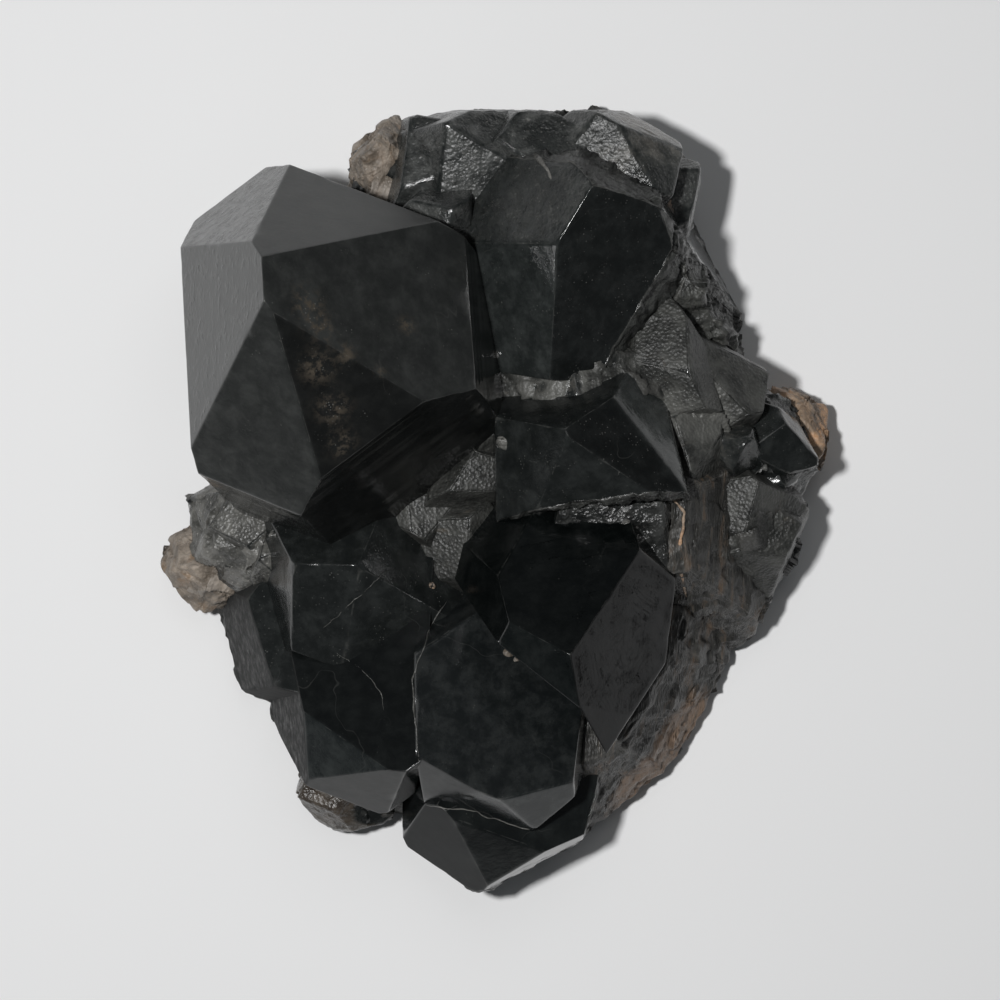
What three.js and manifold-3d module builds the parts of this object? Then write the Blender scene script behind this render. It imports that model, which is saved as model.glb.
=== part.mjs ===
// A morion quartz cluster: black, almost opaque smoky quartz crystals grown together out of a
// root of massive grey quartz. It is one natural piece, so it is one closed solid.
//
// Millimetres, +Z up. The specimen rests on its flat sawn base at z = 0, and the origin is near
// the middle of that base. +Y points to the back, away from the small crystals at the front.
//
// Each crystal is a quartz crystal by its angles: six prism faces round its long axis, and six
// sloping tip faces, one above each prism face. Only the distances of the faces differ, as
// crystals that crowd each other grow unevenly.

import * as THREE from 'three';
import { ConvexGeometry } from 'three/addons/geometries/ConvexGeometry.js';
import { mergeVertices } from 'three/addons/utils/BufferGeometryUtils.js';
import Module from 'manifold-3d';

const wasm = await Module();
wasm.setup();

// driving dimensions
const tipFaceAngle = 51.8; // degrees between a quartz crystal's axis and a tip face's normal
const rootDepth = 4; // how far the solids reach below the base before it is cut flat

// Whole crystals. tip is a point on the axis; lean is the axis's angle from upright; toward is
// the compass bearing it leans to, 0 at +Y and 90 at +X; spin turns its faces about the axis.
// Face 0 looks away from the lean, the others follow counter-clockwise seen from the tip.
// prism is how far each side face stands from the axis; cap is how far below tip each tip face
// crosses the axis; length runs from tip down to the crystal's foot. Each trims list gives one
// solid of the crystal, cut by those extra faces where a neighbour or a break bounds it.
const crystals = {
  tall: {
    tip: [-22.5, 23, 44], lean: 22, toward: 319.5, spin: -4.2, length: 60,
    prism: [15.7, 15.3, 13.4, 18.7, 13.1, 18.6], cap: [-5.6, 0, 0, -1.8, 0, -4.9],
    trims: [[]],
  },
  middle: {
    tip: [9.8, -29.2, 33.7], lean: 53.1, toward: 164, spin: -6.5, length: 46,
    prism: [9, 9.5, 11, 11, 10, 12.8], cap: [-2, 5.7, 3, 3, 3, 5.7],
    trims: [
      [[0, -8.3, 28.5, 65, 276], [2.4, -3.6, 25.5, 60, 321], [2.9, -16.1, 29, 104, 214]],
      [[0, -8.3, 28.5, 65, 276], [2.4, -3.6, 25.5, 60, 321], [7.6, -19.4, 30, 96, 245]],
    ],
  },
  left: {
    tip: [-8.7, -20.9, 26.9], lean: 25, toward: 144, spin: -1, length: 40,
    prism: [14, 9.3, 13.9, 12, 12, 14], cap: [4.2, -3.8, -8.3, -6.8, -8, -8],
    trims: [[[-8.3, -22, 24, 88, 94]]],
  },
  front: {
    tip: [-5.1, -31.5, 18.8], lean: 26, toward: 270, spin: 240, length: 30,
    prism: [8.4, 7.3, 13.1, 9, 9, 9.4], cap: [-1.6, -3.3, -4, -4, -4, -4],
    trims: [[[4.5, -36, 10.5, 135, 148], [9.2, -31.5, 14, 88, 104]]],
  },
};

// Broken and crowded crystals, face by face. Each face is [x, y, z, tilt, bearing]: a point on
// it, its normal's angle from upright, and the compass bearing the normal points to.
const brokenCrystals = {
  back: [
    [5.6, 25, 31, 48, 248], [5.6, 25, 31, 38, 130], [5.6, 25, 31, 47, 295],
    [6.4, 31.1, 33.6, 54, 40], [17.3, 25, 23.5, 72, 85], [14.4, 20, 23, 66, 124],
    [0, 34.6, 20, 74, 352], [13, 33, 20, 72, 30], [8, 12, 20, 95, 185], [-8, 25, 10, 95, 265],
    [18, 30, 10, 82, 62],
  ],
  shield: [
    [0.1, -29.6, 25, 20, 55], [0, -29.9, 25.2, 59, 205], [0.1, -29.6, 25, 52, 152],
    [0.1, -29.6, 25, 67, 194], [7.9, -26, 20, 80, 95], [-8.4, -20, 20, 86, 268],
    [-2, -9.5, 18, 70, 335], [5.8, -31, 19, 100, 136], [0, -32.5, 17.5, 125, 190],
  ],
  splinter: [
    [6.6, 6.2, 31, 48, 252], [6.6, 6.2, 31, 36, 196], [6.6, 6.2, 31, 36, 52],
    [14.3, 5.4, 27.5, 60, 52], [3, 8.3, 26, 66, 345], [10, -0.6, 24, 78, 175],
    [-0.3, 2, 24, 86, 268], [19.5, 0, 16, 86, 75],
  ],
  flank: [
    [-17.5, -6.5, 24.5, 28, 205], [-13.6, -10, 23.2, 34, 150], [-17.5, -6.3, 24.5, 48, 350],
    [-21, -8, 22, 70, 262], [-10.5, -7, 22, 50, 60], [-12, -19, 14, 84, 200],
  ],
  flankFoot: [
    [-23.5, -13, 16.5, 22, 330], [-25, -17, 12, 74, 258], [-24.5, -19.6, 10, 82, 195],
    [-25.5, -9, 13, 74, 310], [-19, -14, 14, 88, 90],
  ],
  fin: [
    [18.8, 22, 20, 46, 243], [19.2, 22, 20, 82, 64], [18.4, 23.4, 20, 60, 5],
    [21, 17.5, 15.5, 40, 170], [21.5, 15.2, 10, 84, 175], [14, 17, 10, 88, 270],
  ],
  seam: [
    [12, -2, 24.5, 22, 178], [17, -3, 22, 78, 90], [4.6, -3, 22, 80, 285],
    [11, -6.4, 21, 80, 200], [12, 0, 20, 90, 0],
  ],
  stainedRidge: [
    [18, -1.5, 24, 52, 280], [18, -1.5, 24, 58, 95], [18, 1, 24, 70, 10], [17.6, -8, 20, 65, 175],
    [18, -1.5, 24, 20, 180],
  ],
  rind: [
    [18, -12, 15, 20, 95], [20.8, -12, 9, 62, 96], [19, -19, 7, 62, 118], [13, -28, 6, 64, 138],
    [17, -6, 15, 66, 10], [8, -20, 8, 90, 270], [12.5, -26.5, 12, 58, 158],
  ],
};

// Lumps of massive grey quartz and wall rock. Each is an ellipsoid knapped into flat facets.
const lumps = {
  backRim: { at: [-3, 31, 8], size: [12, 8.5, 13], facets: 26, seed: 3 },
  backChip: { at: [-11.5, 33.5, 6], size: [6, 6, 9], facets: 18, seed: 11 },
  backCorner: { at: [13, 32, 7], size: [7, 8, 14], facets: 20, seed: 5 },
  valley: { at: [-5, -1, 8], size: [12, 12, 10], facets: 30, seed: 17 },
  saddle: { at: [7, 10.5, 14], size: [11, 6, 8.5], facets: 24, seed: 23 },
  shoulder: { at: [18.5, 9.5, 9], size: [8.5, 8, 10], facets: 26, seed: 29 },
  darkKnob: { at: [27, 4.5, 6], size: [5.5, 6, 8.5], facets: 20, seed: 31 },
  orangeKnob: { at: [30.5, 6.5, 3.5], size: [4.2, 4.5, 6.5], facets: 16, seed: 37 },
  paleKnob: { at: [24.5, -3, 5], size: [7, 7.5, 10.5], facets: 24, seed: 41 },
  tanChip: { at: [-29.3, -6.3, 4], size: [6.3, 5, 6.5], facets: 16, seed: 43 },
  sparklyStep: { at: [-24, -4, 6], size: [8, 7, 10], facets: 22, seed: 47 },
  frontFoot: { at: [-15.8, -29.3, 2], size: [5, 4.8, 7.5], facets: 14, seed: 53 },
  frontRoot: { at: [1, -29, 3], size: [8, 4.5, 8.5], facets: 18, seed: 59 },
};

// The mass the crystals root in, face by face like the broken crystals.
const core = [
  [0, 0, 15, 4, 200], [-21, -18, 8, 62, 255], [-26.5, 0, 6, 62, 275], [-14, 28, 8, 60, 320],
  [0, 35.5, 8, 62, 0], [14, 31, 8, 62, 45], [18.5, 22, 8, 62, 72], [23.5, 4, 8, 62, 88],
  [20.5, -12, 6, 62, 108], [15, -23, 5, 62, 130], [0, -30, 6, 62, 180], [-15, -26, 6, 62, 222],
];

// How far out the specimen reaches all round, as [x, y, bearing] of a tangent to its outline.
const outline = [
  [34.2, 6, 88], [27.2, 23.4, 62], [16.6, 39, 25], [2, 40.6, 0], [-9, 40, 345],
  [-18, 38.6, 336], [-31, 36, 318], [-35.2, -6, 262], [-30.6, -14.4, 240],
  [-15, -35.6, 202], [-1.6, -40.6, 180], [4, -38, 153], [15.8, -29.9, 141],
  [26.4, -14, 115], [33, 2.4, 103],
];
const outlineHeight = 4; // where the outline is widest above the base
const sideTilt = 84; // the steepest the rough sides stand above that height
const underTilt = 128; // how the rough sides draw in below it
const roof = 50; // above every tip

const up = new THREE.Vector3(0, 0, 1);

// A direction from its angle off upright and the compass bearing it points to.
function direction(tilt, bearing) {
  const t = THREE.MathUtils.degToRad(tilt);
  const b = THREE.MathUtils.degToRad(bearing);
  return new THREE.Vector3(Math.sin(t) * Math.sin(b), Math.sin(t) * Math.cos(b), Math.cos(t));
}

// The plane of one face given as [x, y, z, tilt, bearing], its normal pointing outward.
function facePlane([x, y, z, tilt, bearing]) {
  const point = new THREE.Vector3(x, y, z);
  return new THREE.Plane().setFromNormalAndCoplanarPoint(direction(tilt, bearing), point);
}

// The planes of a whole crystal: a prism face and a tip face in each of the six directions
// round the axis, and a foot square to the axis.
function crystalPlanes({ tip, lean, toward, spin, length, prism, cap }) {
  const peak = new THREE.Vector3(...tip);
  const axis = direction(lean, toward);
  const back = direction(lean - 90, toward);
  const slope = THREE.MathUtils.degToRad(tipFaceAngle);
  const planes = [];
  for (let k = 0; k < 6; k += 1) {
    const turn = THREE.MathUtils.degToRad(spin + 60 * k);
    const side = back.clone().applyAxisAngle(axis, turn);
    const sideAt = peak.clone().addScaledVector(side, prism[k]);
    planes.push(new THREE.Plane().setFromNormalAndCoplanarPoint(side, sideAt));
    const tipNormal = axis.clone().multiplyScalar(Math.cos(slope));
    tipNormal.addScaledVector(side, Math.sin(slope));
    const tipAt = peak.clone().addScaledVector(axis, -cap[k]);
    planes.push(new THREE.Plane().setFromNormalAndCoplanarPoint(tipNormal, tipAt));
  }
  const foot = peak.clone().addScaledVector(axis, -length);
  planes.push(new THREE.Plane().setFromNormalAndCoplanarPoint(axis.clone().negate(), foot));
  return planes;
}

// The planes that bound the whole specimen: steep sides that draw in again near the base.
function outlinePlanes() {
  const planes = [facePlane([0, 0, roof, 0, 0])];
  for (const [x, y, bearing] of outline) {
    planes.push(facePlane([x, y, outlineHeight, sideTilt, bearing]));
    planes.push(facePlane([x, y, outlineHeight, underTilt, bearing]));
  }
  return planes;
}

// A repeatable number from 0 to 1 for a count and a seed.
function scatter(count, seed) {
  const wave = Math.sin(count * 12.9898 + seed * 78.233) * 43758.5453;
  return wave - Math.floor(wave);
}

// The planes of a lump: facets spread evenly over an ellipsoid, each turned and sunk a little.
function lumpPlanes({ at, size, facets, seed }) {
  const centre = new THREE.Vector3(...at);
  const radii = new THREE.Vector3(...size);
  const planes = [];
  for (let i = 0; i < facets; i += 1) {
    const height = 1 - (2 * (i + 0.5)) / facets + 0.16 * (scatter(i, seed) - 0.5);
    const round = i * 2.39996 + seed + 0.7 * scatter(i + 50, seed);
    const level = Math.sqrt(Math.max(0, 1 - height * height));
    const way = new THREE.Vector3(level * Math.cos(round), level * Math.sin(round), height);
    const sunk = 0.84 + 0.16 * scatter(i + 100, seed);
    const point = way.clone().multiply(radii).multiplyScalar(sunk).add(centre);
    const normal = way.clone().divide(radii).normalize();
    planes.push(new THREE.Plane().setFromNormalAndCoplanarPoint(normal, point));
  }
  return planes;
}

// The point three planes share, or null where two of them are parallel.
function meetingPoint(a, b, c) {
  const bc = new THREE.Vector3().crossVectors(b.normal, c.normal);
  const ca = new THREE.Vector3().crossVectors(c.normal, a.normal);
  const ab = new THREE.Vector3().crossVectors(a.normal, b.normal);
  const volume = a.normal.dot(bc);
  if (Math.abs(volume) < 1e-6) {
    return null;
  }
  const point = bc.multiplyScalar(-a.constant);
  point.addScaledVector(ca, -b.constant);
  point.addScaledVector(ab, -c.constant);
  return point.divideScalar(volume);
}

// The convex solid inside a set of planes, reaching down to just below the base.
function solidInside(planes) {
  const floor = new THREE.Plane(up.clone().negate(), -rootDepth);
  const all = planes.concat([floor]);
  const corners = [];
  for (let i = 0; i < all.length; i += 1) {
    for (let j = i + 1; j < all.length; j += 1) {
      for (let k = j + 1; k < all.length; k += 1) {
        const point = meetingPoint(all[i], all[j], all[k]);
        const inside = point && all.every((plane) => plane.distanceToPoint(point) < 1e-5);
        if (inside && corners.every((other) => other.distanceTo(point) > 0.02)) {
          corners.push(point);
        }
      }
    }
  }
  return toManifold(new ConvexGeometry(corners));
}

// A closed three.js geometry as a solid that can be joined and cut.
function toManifold(geometry) {
  const bare = geometry.clone();
  bare.deleteAttribute('normal');
  bare.deleteAttribute('uv');
  const merged = mergeVertices(bare, 1e-4);
  const mesh = new wasm.Mesh({
    numProp: 3,
    vertProperties: new Float32Array(merged.attributes.position.array),
    triVerts: new Uint32Array(merged.index.array),
  });
  return new wasm.Manifold(mesh);
}

// A joined solid back as a three.js geometry.
function toGeometry(solid) {
  const mesh = solid.getMesh();
  const geometry = new THREE.BufferGeometry();
  const positions = new Float32Array(mesh.vertProperties);
  geometry.setAttribute('position', new THREE.BufferAttribute(positions, 3));
  geometry.setIndex(new THREE.BufferAttribute(new Uint32Array(mesh.triVerts), 1));
  const flat = geometry.toNonIndexed();
  flat.computeVertexNormals();
  return flat;
}

// the cluster: crystals and lumps grown together, then cut flat underneath
const pieces = [solidInside(core.map(facePlane))];
for (const crystal of Object.values(crystals)) {
  for (const trims of crystal.trims) {
    pieces.push(solidInside(crystalPlanes(crystal).concat(trims.map(facePlane))));
  }
}
for (const faces of Object.values(brokenCrystals)) {
  pieces.push(solidInside(faces.map(facePlane)));
}
for (const lump of Object.values(lumps)) {
  pieces.push(solidInside(lumpPlanes(lump)));
}
const grown = wasm.Manifold.union(pieces).intersect(solidInside(outlinePlanes()));
const resting = grown.trimByPlane([0, 0, 1], 0);

const morion = new THREE.MeshStandardMaterial({ color: 0x1b1c1b, roughness: 0.25 });
const cluster = new THREE.Mesh(toGeometry(resting), morion);
cluster.name = 'quartz_cluster';

const part = new THREE.Group();
part.name = 'morion_quartz_cluster';
part.add(cluster);

export default part;
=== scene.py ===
# A morion quartz cluster, photographed from straight above on white paper.
# Shapes are given in millimetres and turned to metres when a mesh is made.
import itertools
import bpy
import bmesh
import numpy as np
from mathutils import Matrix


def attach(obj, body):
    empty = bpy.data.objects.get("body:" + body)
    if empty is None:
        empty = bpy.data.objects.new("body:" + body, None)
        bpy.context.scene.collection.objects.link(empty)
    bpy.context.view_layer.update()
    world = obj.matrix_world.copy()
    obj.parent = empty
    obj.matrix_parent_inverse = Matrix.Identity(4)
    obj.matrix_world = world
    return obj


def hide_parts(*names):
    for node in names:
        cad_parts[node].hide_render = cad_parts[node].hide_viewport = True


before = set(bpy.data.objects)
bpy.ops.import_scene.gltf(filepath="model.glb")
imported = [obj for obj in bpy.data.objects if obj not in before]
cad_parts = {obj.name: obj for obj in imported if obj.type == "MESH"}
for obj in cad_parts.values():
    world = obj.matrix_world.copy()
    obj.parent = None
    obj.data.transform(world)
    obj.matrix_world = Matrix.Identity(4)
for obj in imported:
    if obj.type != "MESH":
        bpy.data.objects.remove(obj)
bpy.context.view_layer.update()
print("frame loaded")

millimetre = 0.001
tipFaceAngle = 51.8      # between a quartz crystal's axis and a tip face's normal, in degrees
baseRise = 1.5           # relief grows to its full height over these millimetres above the base
weldGap = 2e-7           # points closer than this, in metres, become one
chipStep = 0.35          # how far one chip stands off the next, in parts of its size
hashSize = 43758.5453    # the fraction of a sine times this looks random
slopeHash = 24634.6345   # another such factor, so that slopes don't follow spots
goldenTurn = 2.39996     # radians; points turned by this from one to the next spread evenly
striae = {"fine": 0.42, "wide": 1.7, "length": 60}    # pitches and length of growth lines, in mm


# a smooth random field: a value at each corner of a cubic lattice, blended between corners
def softNoise(points, seed=0.0):
    cell = np.floor(points)
    part = points - cell
    blend = part * part * (3 - 2 * part)
    total = np.zeros(len(points))
    for dx, dy, dz in itertools.product((0, 1), repeat=3):
        corner = cell + (dx, dy, dz)
        wave = np.sin(corner @ (127.1, 311.7, 74.7) + seed * 17.3) * hashSize
        weight = np.abs(np.array((1 - dx, 1 - dy, 1 - dz)) - blend).prod(axis=1)
        total += weight * (wave - np.floor(wave))
    return total


# fractal noise: octaves of the smooth field, each twice as fine and about half as strong
def roughNoise(points, octaves=4, seed=0.0, gain=0.55):
    total = np.zeros(len(points))
    size = 0.0
    for level in range(octaves):
        total += gain ** level * softNoise(points * 2.0 ** level + 31.7 * level, seed)
        size += gain ** level
    return total / size - 0.5


# unit normals from angles off upright and compass bearings (0 at +Y, 90 at +X)
def facing(tilt, bearing):
    t, b = np.radians(tilt), np.radians(bearing)
    return np.stack([np.sin(t) * np.sin(b), np.sin(t) * np.cos(b), np.cos(t)], axis=-1)


# faces given as rows of x, y, z, tilt, bearing, as plane normals and their distances from 0
def planesFromFaces(faces):
    table = np.array(faces, dtype=float).reshape(-1, 5)
    normals = facing(table[:, 3], table[:, 4])
    return normals, (normals * table[:, :3]).sum(axis=1)


# quartz's own angles: six prism faces round the axis, a tip face sloping off each, and a foot
def planesFromCrystal(crystal):
    peak = np.array(crystal["tip"], dtype=float)
    axis = facing(crystal["lean"], crystal["toward"])
    back = facing(crystal["lean"] - 90.0, crystal["toward"])
    turn = np.radians(crystal["spin"] + 60.0 * np.arange(6))[:, None]
    sides = np.cos(turn) * back + np.sin(turn) * np.cross(axis, back)
    slope = np.radians(tipFaceAngle)
    tips = np.cos(slope) * axis + np.sin(slope) * sides
    normals = np.concatenate([sides, tips, [-axis]])
    reach = np.concatenate([
        sides @ peak + crystal["prism"],
        tips @ peak - np.cos(slope) * np.array(crystal["cap"], dtype=float),
        [-axis @ peak + crystal["length"]],
    ])
    return normals, reach


# the specimen's outline, as x, y and bearing of tangents, with sides that draw in at the base
outline = {
    "tangents": [
        (34.2, 6, 88), (27.2, 23.4, 62), (16.6, 39, 25), (2, 40.6, 0), (-9, 40, 345),
        (-18, 38.6, 336), (-31, 36, 318), (-35.2, -6, 262), (-30.6, -14.4, 240),
        (-15, -35.6, 202), (-1.6, -40.6, 180), (4, -38, 153), (15.8, -29.9, 141),
        (26.4, -14, 115), (33, 2.4, 103),
    ],
    "height": 4.0, "sideTilt": 84.0, "underTilt": 128.0,
}


# two planes on each tangent: one leans in above the height given there, one draws in below it
def outlinePlanes():
    faces = [(0, 0, 0, 180, 0)]    # the flat base
    for x, y, bearing in outline["tangents"]:
        faces.append((x, y, outline["height"], outline["sideTilt"], bearing))
        faces.append((x, y, outline["height"], outline["underTilt"], bearing))
    return planesFromFaces(faces)


# where three planes meet, for every three at once, kept where no other plane cuts it off
def cornersInside(normals, reach):
    trios = np.array(list(itertools.combinations(range(len(reach)), 3)))
    lhs = normals[trios]
    trios = trios[np.abs(np.linalg.det(lhs)) > 1e-6]
    points = np.linalg.solve(normals[trios], reach[trios][..., None])[..., 0]
    inside = (points @ normals.T - reach < 1e-6).all(axis=1)
    return points[inside]


# one flat face as a grid: rings from its middle out to its edge, closer together at the edge,
# and steps round the edge, so that point = middle + ring * (edge point - middle)
def facetGrid(corners, normal, step, rings):
    middle = corners.mean(axis=0)
    across = np.cross(normal, [0.31, 0.57, 0.76])    # a direction that no face points along
    across /= np.linalg.norm(across)
    spread = corners - middle
    order = np.argsort(np.arctan2(spread @ np.cross(normal, across), spread @ across))
    loop = corners[order]
    edge = []
    for a, b in zip(loop, np.roll(loop, -1, axis=0)):
        count = max(1, int(np.ceil(np.linalg.norm(b - a) / step - 1e-6)))
        edge.append(a + (b - a) * np.arange(count)[:, None] / count)
    edge = np.concatenate(edge)
    ring = 1 - (1 - np.linspace(0, 1, rings)) ** 2
    return middle + ring[:, None, None] * (edge - middle)


# quads between neighbouring rings of a grid whose second direction closes on itself
def ringQuads(rings, around, first):
    r, s = np.meshgrid(np.arange(rings - 1), np.arange(around), indexing="ij")
    nextS = (s + 1) % around
    quads = [r * around + s, (r + 1) * around + s, (r + 1) * around + nextS, r * around + nextS]
    return np.stack(quads, axis=-1).reshape(-1, 4) + first


# worn edges: each point sinks by wear * log(sum of exp(-gap / wear)) over its gaps to all faces,
# so an edge or a corner, with two or three gaps near nothing, rounds off, and a flat face stays
def wearEdges(points, normals, reach, wear):
    gap = np.maximum(reach - points @ normals.T, 0)
    share = np.exp(-gap / wear[:, None])
    total = share.sum(axis=1)
    share /= total[:, None]
    way = share @ normals
    way /= (way ** 2).sum(axis=1)[:, None]
    sink = wear * np.log(total)
    return points - sink[:, None] * way, share, sink


# puts millimetre points and quads in a new object, with values for its material at each point
def makePiece(name, points, quads, values, material):
    mesh = bpy.data.meshes.new(name)
    mesh.from_pydata((points * millimetre).tolist(), [], quads.tolist())
    for key, value in values.items():
        layer = mesh.attributes.new(key, "FLOAT", "POINT")
        layer.data.foreach_set("value", np.ascontiguousarray(value, dtype=np.float32))
    piece = bpy.data.objects.new(name, mesh)
    bpy.context.scene.collection.objects.link(piece)
    work = bmesh.new()
    work.from_mesh(mesh)
    bmesh.ops.remove_doubles(work, verts=work.verts, dist=weldGap)
    bmesh.ops.recalc_face_normals(work, faces=work.faces)
    work.to_mesh(mesh)
    work.free()
    mesh.materials.append(material)
    mesh.shade_smooth()
    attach(piece, "root")
    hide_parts("quartz_cluster")


# broken quartz: each cell of a jittered lattice is one flat chip with a slope of its own, so
# height = (point - cell's own spot) . cell's own slope, with small steps between the cells
def chipNoise(points, seed=0.0):
    cell = np.floor(points)
    nearest = np.full(len(points), 9.0)
    height = np.zeros(len(points))
    for shift in itertools.product((-1, 0, 1), repeat=3):
        there = cell + shift
        key = there @ (12.9898, 78.233, 37.719) + seed * 5.31
        spot = [np.modf(np.sin(key + step) * hashSize)[0] * 0.45 + 0.5 for step in range(3)]
        slope = [np.modf(np.sin(key + step) * slopeHash)[0] for step in range(3, 7)]
        away = points - there - np.stack(spot, axis=-1)
        gap = (away ** 2).sum(axis=1)
        closer = gap < nearest
        nearest = np.where(closer, gap, nearest)
        lie = (away * np.stack(slope[:3], axis=-1)).sum(axis=1) + chipStep * slope[3]
        height = np.where(closer, lie, height)
    return height


# one faceted solid: the flat faces as grids, edges worn, then relief along the blended normals
# relief = growth noise + broken chips + striations, bands along the axis on the prism faces only
def facetedSkin(normals, reach, look, axis=None):
    corners = cornersInside(normals, reach)
    onFace = np.abs(corners @ normals.T - reach) < 1e-5
    patches, quads, first = [], [], 0
    for k in np.flatnonzero(onFace.sum(axis=0) >= 3):
        own = np.unique(corners[onFace[:, k]].round(5), axis=0)
        if len(own) < 3:
            continue
        across = np.linalg.norm(own - own.mean(axis=0), axis=1).max()
        rings = int(np.clip(across / look["grain"] + 4, 7, 44))    # more on a wider face
        grid = facetGrid(own, normals[k], look["grain"], rings)
        patches.append(grid.reshape(-1, 3))
        quads.append(ringQuads(rings, grid.shape[1], first))
        first += grid.shape[0] * grid.shape[1]
    points, quads = np.concatenate(patches), np.concatenate(quads)
    seed = look["seed"]
    chips = np.clip(roughNoise(points / 2.3, 3, seed + 1) * 3.2, 0, 1)    # where edges are chipped
    wear = look["wear"] * (1 + look["chipping"] * chips ** 2)
    worn, share, sink = wearEdges(points, normals, reach, wear)
    outward = share @ normals
    outward /= np.linalg.norm(outward, axis=1)[:, None]
    rough = share[:, look["whole"]:].sum(axis=1) + share[:, look["broken"]].sum(axis=1)
    low = np.clip((look["rootLine"] - worn[:, 2]) / 4 + 3 * roughNoise(worn / 4, 3, seed), 0, 1)
    rough = np.clip(rough + low, 0, 1)    # the crystal's foot is rough, with a frayed upper limit
    relief = look["wave"] * roughNoise(worn / look["waveSize"], 3, seed)
    coarse = chipNoise(worn / look["chipSize"], seed)
    coarse += 0.4 * chipNoise(worn / look["chipSize"] * 2.7, seed + 4)
    relief += (look["chip"] + look["rubble"] * rough) * coarse
    if axis is not None:
        along = worn @ axis
        x, y = worn[:, 0] / striae["length"], worn[:, 1] / striae["length"]
        fine = np.stack([along / striae["fine"], along * 0 + seed, x], axis=-1)
        wide = np.stack([along / striae["wide"], along * 0 + seed, y], axis=-1)
        onPrism = share[:, :6].sum(axis=1)
        relief += onPrism * look["stripe"] * (softNoise(fine) + 1.6 * softNoise(wide) - 1.3)
    lift = np.clip(worn[:, 2] / baseRise, 0, 1)    # the base stays flat
    final = worn + (relief * lift)[:, None] * outward
    final[:, 2] = np.maximum(final[:, 2], 0)
    for face, amount in look.get("dull", {}).items():
        rough = np.maximum(rough, amount * share[:, face])
    # painted light and shade: each face's share of a lighter or darker colour, standing in for how
    # brightly that face catches the light
    tone, matt = np.ones(len(final)), np.zeros(len(final))
    for face, amount in look.get("tone", {}).items():
        tone += (amount - 1) * share[:, face]
    for face, amount in look.get("matt", {}).items():
        matt += amount * share[:, face]
    return final, quads, {
        "worn": sink / (0.7 * wear), "broken": rough, "veiled": nearSpots(final, look),
        "tone": tone, "matt": matt,
    }


# how near each point is to a veiled spot: the sum of exp(-(distance / size) ^ 2)
def nearSpots(points, look):
    total = np.zeros(len(points))
    for x, y, z, size in look.get("spots", ()):
        total += 1.4 * np.exp(-((points - (x, y, z)) ** 2).sum(axis=1) / size ** 2)
    return np.minimum(total, 1)


# a rough lump: radius = the nearest of its facet planes along each direction, softened, then
# broken up by chip and rough noise; rows run from pole to pole and columns round
def roughSkin(normals, reach, centre, look):
    rows, columns = look["rows"], look["rows"] * 2
    down = np.linspace(0, np.pi, rows)
    about = np.linspace(0, 2 * np.pi, columns, endpoint=False)
    polar, turn = np.meshgrid(down, about, indexing="ij")
    ways = np.stack([
        np.sin(polar) * np.cos(turn), np.sin(polar) * np.sin(turn), np.cos(polar)
    ], axis=-1).reshape(-1, 3)
    room = reach - normals @ centre
    pull = np.maximum(ways @ normals.T, 1e-6) / room
    soft = look["soft"]
    radius = 1 / ((pull ** soft).sum(axis=1) ** (1 / soft))
    points = centre + radius[:, None] * ways
    seed = look["seed"]
    relief = look["wave"] * roughNoise(points / look["waveSize"], 3, seed)
    relief += look["chip"] * chipNoise(points / look["chipSize"], seed)
    relief += look["chip"] * 0.35 * chipNoise(points / look["chipSize"] * 2.3, seed + 2)
    lift = np.clip(points[:, 2] / baseRise, 0, 1)
    points = points + (relief * lift)[:, None] * ways
    points[:, 2] = np.maximum(points[:, 2], 0)
    quads = ringQuads(rows, columns, 0)
    proud = np.clip(1.6 * relief / (look["chip"] + look["wave"]) + 0.3, 0, 1)
    glassy = np.clip(2.5 * roughNoise(points / 3.5, 2, seed + 8) + 1 - look["glassy"], 0, 1)
    # painted shade: one lighter or darker factor over the whole lump
    same = np.full(len(points), look.get("shade", 1.0))
    return points, quads, {
        "worn": proud, "broken": glassy, "veiled": nearSpots(points, look),
        "tone": same, "matt": same * 0,
    }


# several skins as one set of points, quads and values
def joinSkins(skins):
    start = np.cumsum([0] + [len(s[0]) for s in skins])
    points = np.concatenate([s[0] for s in skins])
    quads = np.concatenate([s[1] + first for s, first in zip(skins, start)])
    values = {key: np.concatenate([s[2][key] for s in skins]) for key in skins[0][2]}
    return points, quads, values


# the height of the faceted solids over x, y: the lowest of each solid's upper planes, where
# that is above its lower planes, and the highest of that over all the solids
def topHeight(solids, x, y):
    best = np.zeros(len(x))
    for normals, reach in solids:
        rise = normals[:, 2:3]
        free = reach[:, None] - normals[:, 0:1] * x - normals[:, 1:2] * y
        upper = np.where(rise > 0.01, free / np.maximum(rise, 0.01), np.inf).min(axis=0)
        lower = np.where(rise < -0.01, free / np.minimum(rise, -0.01), -np.inf).max(axis=0)
        beside = np.where(np.abs(rise) <= 0.01, free, 0).min(axis=0) >= 0
        best = np.maximum(best, np.where((upper > lower) & beside, upper, 0))
    return best


# the same height over a single x, y
def heightAt(solids, x, y):
    return topHeight(solids, np.array([x]), np.array([y]))[0]


# marks given as x, y and size, with the height of the solids under each
def lieOn(solids, marks):
    return [(x, y, heightAt(solids, x, y), size) for x, y, size in marks]


# a repeatable number from 0 to 1 for a count and a seed, as the lumps' facets use
def scatter(count, seed):
    wave = np.sin(count * 12.9898 + seed * 78.233) * hashSize
    return wave - np.floor(wave)


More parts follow.
